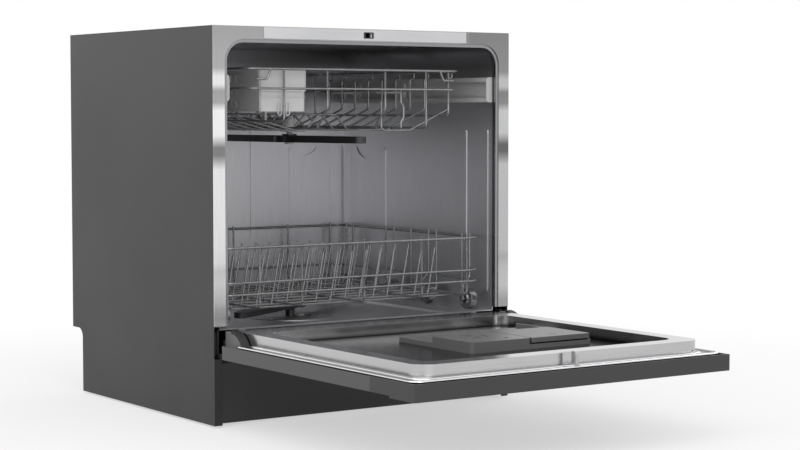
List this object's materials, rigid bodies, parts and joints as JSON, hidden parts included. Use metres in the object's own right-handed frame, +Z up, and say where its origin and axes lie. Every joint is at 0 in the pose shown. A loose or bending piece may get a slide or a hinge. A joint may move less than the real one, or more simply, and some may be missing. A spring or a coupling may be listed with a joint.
{
  "type": "countertop dishwasher",
  "caption": "Compact freestanding dishwasher with a drop-down door, two pull-out wire racks, cutlery basket, spray arms, dispenser, latch and the pumps and valves under its tub",
  "frame": {"origin": "centre of the footprint of the machine with its door open, on the worktop", "axes": "+X towards the right side as a person faces the machine, +Y from the door towards the rear, +Z up"},
  "size_m": [0.55, 1.0004, 0.597],
  "materials": {
    "painted_side": "satin metallic dark grey",
    "front_steel": "bright polished",
    "tub_steel": "semi-gloss",
    "trim": "gloss",
    "black_plastic": "matt",
    "seal_rubber": "matt",
    "works_metal": "zinc plated",
    "grey_plastic": "satin",
    "light_plastic": "satin",
    "white_plastic": "matt",
    "fascia": "satin dark grey",
    "window": "gloss",
    "board": "matt",
    "wire": "coated wire",
    "wheel": "satin",
    "motor": "satin"
  },
  "bodies": {
    "root": {"left_side_panel": "painted_side", "right_side_panel": "painted_side", "top_panel": "painted_side", "rear_panel": "painted_side", "base_pan": "black_plastic", "kick_plate": "painted_side", "front_frame": "front_steel", "top_trim_strip": "trim", "latch_housing": "black_plastic", "tub": "tub_steel", "door_seal": "seal_rubber", "hinge_brackets": "works_metal", "feet": "black_plastic", "upper_rack_rails": "light_plastic", "spray_feed_pipe": "light_plastic", "sump": "black_plastic", "filter_basket": "light_plastic", "circulation_pump": "motor", "drain_pump": "black_plastic", "inlet_valve": "white_plastic", "drain_spigot": "black_plastic", "leak_float": "white_plastic", "power_gland": "black_plastic"},
    "door": {"door_panel": "painted_side", "control_fascia": "fascia", "door_liner": "tub_steel", "hinge_arms": "works_metal", "hinge_shoulders": "grey_plastic", "dispenser_body": "grey_plastic", "latch_hook": "works_metal", "display_window": "window", "control_board": "board"},
    "dispenser_lid": {"dispenser_lid": "grey_plastic"},
    "rinse_aid_cap": {"rinse_aid_cap": "grey_plastic"},
    "power_key": {"power_key": "grey_plastic"},
    "program_key": {"program_key": "grey_plastic"},
    "start_key": {"start_key": "grey_plastic"},
    "lower_rack": {"lower_rack_front": "wire", "lower_rack_back": "wire", "lower_rack_left": "wire", "lower_rack_right": "wire", "lower_rack_floor": "wire", "lower_rack_tines": "wire"},
    "wheel_1": {"lower_wheel_1": "wheel"},
    "wheel_2": {"lower_wheel_2": "wheel"},
    "wheel_3": {"lower_wheel_3": "wheel"},
    "wheel_4": {"lower_wheel_4": "wheel"},
    "wheel_5": {"lower_wheel_5": "wheel"},
    "wheel_6": {"lower_wheel_6": "wheel"},
    "wheel_7": {"lower_wheel_7": "wheel"},
    "wheel_8": {"lower_wheel_8": "wheel"},
    "upper_rack": {"upper_rack_front": "wire", "upper_rack_back": "wire", "upper_rack_left": "wire", "upper_rack_right": "wire", "upper_rack_floor": "wire", "upper_rack_glides": "light_plastic", "cutlery_basket": "light_plastic"},
    "upper_arm": {"upper_spray_arm": "black_plastic"},
    "lower_arm": {"lower_spray_arm": "black_plastic"}
  },
  "joints": [
    {"name": "door_hinge", "type": "hinge", "parent": "root", "child": "door", "pos_m": [0, -0.01075, 0.1075], "axis": [-1, 0, 0], "range_deg": [0, 90]},
    {"name": "dispenser_lid_slide", "type": "slide", "parent": "door", "child": "dispenser_lid", "axis": [0, 1, 0], "range_m": [0, 0.084]},
    {"name": "rinse_aid_cap_turn", "type": "hinge", "parent": "door", "child": "rinse_aid_cap", "pos_m": [0.006, -0.24775, 0.142], "axis": [0, 0, 1], "range_deg": [0, 90]},
    {"name": "lower_rack_slide", "type": "slide", "parent": "root", "child": "lower_rack", "axis": [0, 1, 0], "range_m": [-0.422, 0]},
    {"name": "upper_rack_slide", "type": "slide", "parent": "root", "child": "upper_rack", "axis": [0, 1, 0], "range_m": [-0.245, 0]},
    {"name": "upper_arm_spin", "type": "hinge", "parent": "root", "child": "upper_arm", "pos_m": [0, 0.24925, 0.425], "axis": [0, 0, 1], "continuous": true},
    {"name": "lower_arm_spin", "type": "hinge", "parent": "root", "child": "lower_arm", "pos_m": [0, 0.24925, 0.15], "axis": [0, 0, 1], "continuous": true},
    {"name": "power_key_press", "type": "slide", "parent": "door", "child": "power_key", "axis": [0, 0, 1], "range_m": [0, 0.0015], "stiffness_N_per_m": 400},
    {"name": "program_key_press", "type": "slide", "parent": "door", "child": "program_key", "axis": [0, 0, 1], "range_m": [0, 0.0015], "stiffness_N_per_m": 400},
    {"name": "start_key_press", "type": "slide", "parent": "door", "child": "start_key", "axis": [0, 0, 1], "range_m": [0, 0.0015], "stiffness_N_per_m": 400},
    {"name": "wheel_1_roll", "type": "hinge", "parent": "lower_rack", "child": "wheel_1", "pos_m": [-0.2335, 0.06675, 0.1618], "axis": [1, 0, 0], "continuous": true},
    {"name": "wheel_2_roll", "type": "hinge", "parent": "lower_rack", "child": "wheel_2", "pos_m": [-0.2335, 0.18305, 0.1618], "axis": [1, 0, 0], "continuous": true},
    {"name": "wheel_3_roll", "type": "hinge", "parent": "lower_rack", "child": "wheel_3", "pos_m": [-0.2335, 0.28675, 0.1618], "axis": [1, 0, 0], "continuous": true},
    {"name": "wheel_4_roll", "type": "hinge", "parent": "lower_rack", "child": "wheel_4", "pos_m": [-0.2335, 0.43825, 0.1618], "axis": [1, 0, 0], "continuous": true},
    {"name": "wheel_5_roll", "type": "hinge", "parent": "lower_rack", "child": "wheel_5", "pos_m": [0.2335, 0.06675, 0.1618], "axis": [1, 0, 0], "continuous": true},
    {"name": "wheel_6_roll", "type": "hinge", "parent": "lower_rack", "child": "wheel_6", "pos_m": [0.2335, 0.18305, 0.1618], "axis": [1, 0, 0], "continuous": true},
    {"name": "wheel_7_roll", "type": "hinge", "parent": "lower_rack", "child": "wheel_7", "pos_m": [0.2335, 0.28675, 0.1618], "axis": [1, 0, 0], "continuous": true},
    {"name": "wheel_8_roll", "type": "hinge", "parent": "lower_rack", "child": "wheel_8", "pos_m": [0.2335, 0.43825, 0.1618], "axis": [1, 0, 0], "continuous": true}
  ],
  "couplings": [
    {"joint": "wheel_1_roll", "follows": "lower_rack_slide", "rad_per_m": -60.606},
    {"joint": "wheel_2_roll", "follows": "lower_rack_slide", "rad_per_m": -60.606},
    {"joint": "wheel_3_roll", "follows": "lower_rack_slide", "rad_per_m": -60.606},
    {"joint": "wheel_4_roll", "follows": "lower_rack_slide", "rad_per_m": -60.606},
    {"joint": "wheel_5_roll", "follows": "lower_rack_slide", "rad_per_m": -60.606},
    {"joint": "wheel_6_roll", "follows": "lower_rack_slide", "rad_per_m": -60.606},
    {"joint": "wheel_7_roll", "follows": "lower_rack_slide", "rad_per_m": -60.606},
    {"joint": "wheel_8_roll", "follows": "lower_rack_slide", "rad_per_m": -60.606}
  ]
}
